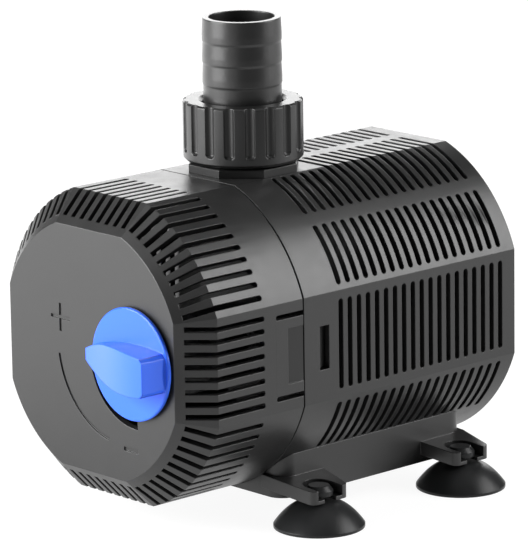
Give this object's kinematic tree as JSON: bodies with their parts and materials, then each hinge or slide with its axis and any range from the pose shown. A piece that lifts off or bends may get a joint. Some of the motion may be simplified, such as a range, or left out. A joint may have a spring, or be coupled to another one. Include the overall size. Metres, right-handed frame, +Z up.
{
  "type": "submersible fountain pump",
  "caption": "Submersible pump with slotted strainer housing, side latches, turnable flow knob, vertical hose tail with union nut, and suction-cup base.",
  "frame": {"origin": "centre of the bounding box's footprint, on the floor under the suction cups", "axes": "+Z up along the outlet, the knob's face towards -Y, +X to the right seen from the knob's side"},
  "size_m": [0.1286, 0.166, 0.1602],
  "materials": {
    "housing_black": "satin moulded ABS, very dark grey",
    "knob_blue": "glossy bright blue ABS",
    "stainless": "plain stainless steel",
    "shutter_grey": "dark grey moulded plastic",
    "chamber_black": "black glass-filled plastic",
    "seal_rubber": "black nitrile rubber",
    "impeller_white": "off-white acetal",
    "ferrite": "dark grey sintered ferrite",
    "ceramic_white": "polished alumina",
    "well_plastic": "black plastic can",
    "lamination_steel": "stacked silicon steel sheets",
    "bobbin_nylon": "natural nylon",
    "copper_wire": "enamelled copper winding",
    "fuse_body": "small lacquered metal can",
    "resin_black": "cast black epoxy",
    "gland_black": "black nylon",
    "grommet_rubber": "black rubber",
    "outlet_black": "satin moulded ABS",
    "nut_black": "satin moulded ABS",
    "tail_black": "satin moulded ABS",
    "base_black": "satin moulded ABS",
    "cup_rubber": "semi-gloss black rubber"
  },
  "bodies": {
    "pump_body": {"front_cover": "housing_black", "rear_shell": "housing_black", "volute_casing": "chamber_black", "volute_backplate": "chamber_black", "volute_o_ring": "seal_rubber", "volute_screws": "stainless", "ceramic_shaft": "ceramic_white", "front_shaft_bush": "seal_rubber", "rear_shaft_bush": "seal_rubber", "rotor_well": "well_plastic", "motor_housing": "chamber_black", "stator_core": "lamination_steel", "bobbin_upper": "bobbin_nylon", "bobbin_lower": "bobbin_nylon", "coil_upper": "copper_wire", "coil_lower": "copper_wire", "thermal_fuse": "fuse_body", "potting_resin": "resin_black", "cable_gland": "gland_black", "gland_locknut": "gland_black", "gland_cap": "gland_black", "cable_grommet": "grommet_rubber", "outlet_connector": "outlet_black", "connector_o_ring": "seal_rubber", "outlet_seal": "seal_rubber", "base_frame": "base_black", "base_screws": "stainless"},
    "flow_control": {"flow_knob": "knob_blue", "knob_clip": "stainless", "flow_shutter": "shutter_grey", "shutter_pin": "stainless"},
    "rotor": {"impeller": "impeller_white", "rotor_magnet": "ferrite", "thrust_washer": "ceramic_white"},
    "latch_right": {"latch_tongue_right": "housing_black"},
    "latch_left": {"latch_tongue_left": "housing_black"},
    "hose_tail_group": {"hose_tail": "tail_black"},
    "nut": {"union_nut": "nut_black"},
    "cup_front_right": {"suction_cup_front_right": "cup_rubber"},
    "cup_front_left": {"suction_cup_front_left": "cup_rubber"},
    "cup_rear_right": {"suction_cup_rear_right": "cup_rubber"},
    "cup_rear_left": {"suction_cup_rear_left": "cup_rubber"}
  },
  "joints": [
    {"name": "union_nut_turn", "type": "hinge", "parent": "hose_tail_group", "child": "nut", "pos_m": [0, -0.0031, 0.123], "axis": [0, 0, 1], "range_deg": [0, 2160]},
    {"name": "hose_tail_lift", "type": "slide", "parent": "pump_body", "child": "hose_tail_group", "axis": [0, 0, 1], "range_m": [0, 0.01385]},
    {"name": "flow_knob_turn", "type": "hinge", "parent": "pump_body", "child": "flow_control", "pos_m": [0.0215, -0.071, 0.0594], "axis": [0, -1, 0], "range_deg": [0, 80]},
    {"name": "rotor_spin", "type": "hinge", "parent": "pump_body", "child": "rotor", "pos_m": [0.0215, 0.02, 0.0594], "axis": [0, 1, 0], "continuous": true},
    {"name": "latch_right_press", "type": "hinge", "parent": "pump_body", "child": "latch_right", "pos_m": [0.0478, -0.036, 0.0594], "axis": [0, 0, 1], "range_deg": [0, 7], "stiffness_Nm_per_rad": 1},
    {"name": "latch_left_press", "type": "hinge", "parent": "pump_body", "child": "latch_left", "pos_m": [-0.0478, -0.036, 0.0594], "axis": [0, 0, -1], "range_deg": [0, 7], "stiffness_Nm_per_rad": 1},
    {"name": "cup_front_right_slide", "type": "slide", "parent": "pump_body", "child": "cup_front_right", "axis": [1, 0, 0], "range_m": [0, 0.014]},
    {"name": "cup_front_left_slide", "type": "slide", "parent": "pump_body", "child": "cup_front_left", "axis": [-1, 0, 0], "range_m": [0, 0.014]},
    {"name": "cup_rear_right_slide", "type": "slide", "parent": "pump_body", "child": "cup_rear_right", "axis": [1, 0, 0], "range_m": [0, 0.014]},
    {"name": "cup_rear_left_slide", "type": "slide", "parent": "pump_body", "child": "cup_rear_left", "axis": [-1, 0, 0], "range_m": [0, 0.014]}
  ],
  "couplings": [
    {"joint": "union_nut_turn", "follows": "hose_tail_lift", "rad_per_m": 2721.2}
  ]
}
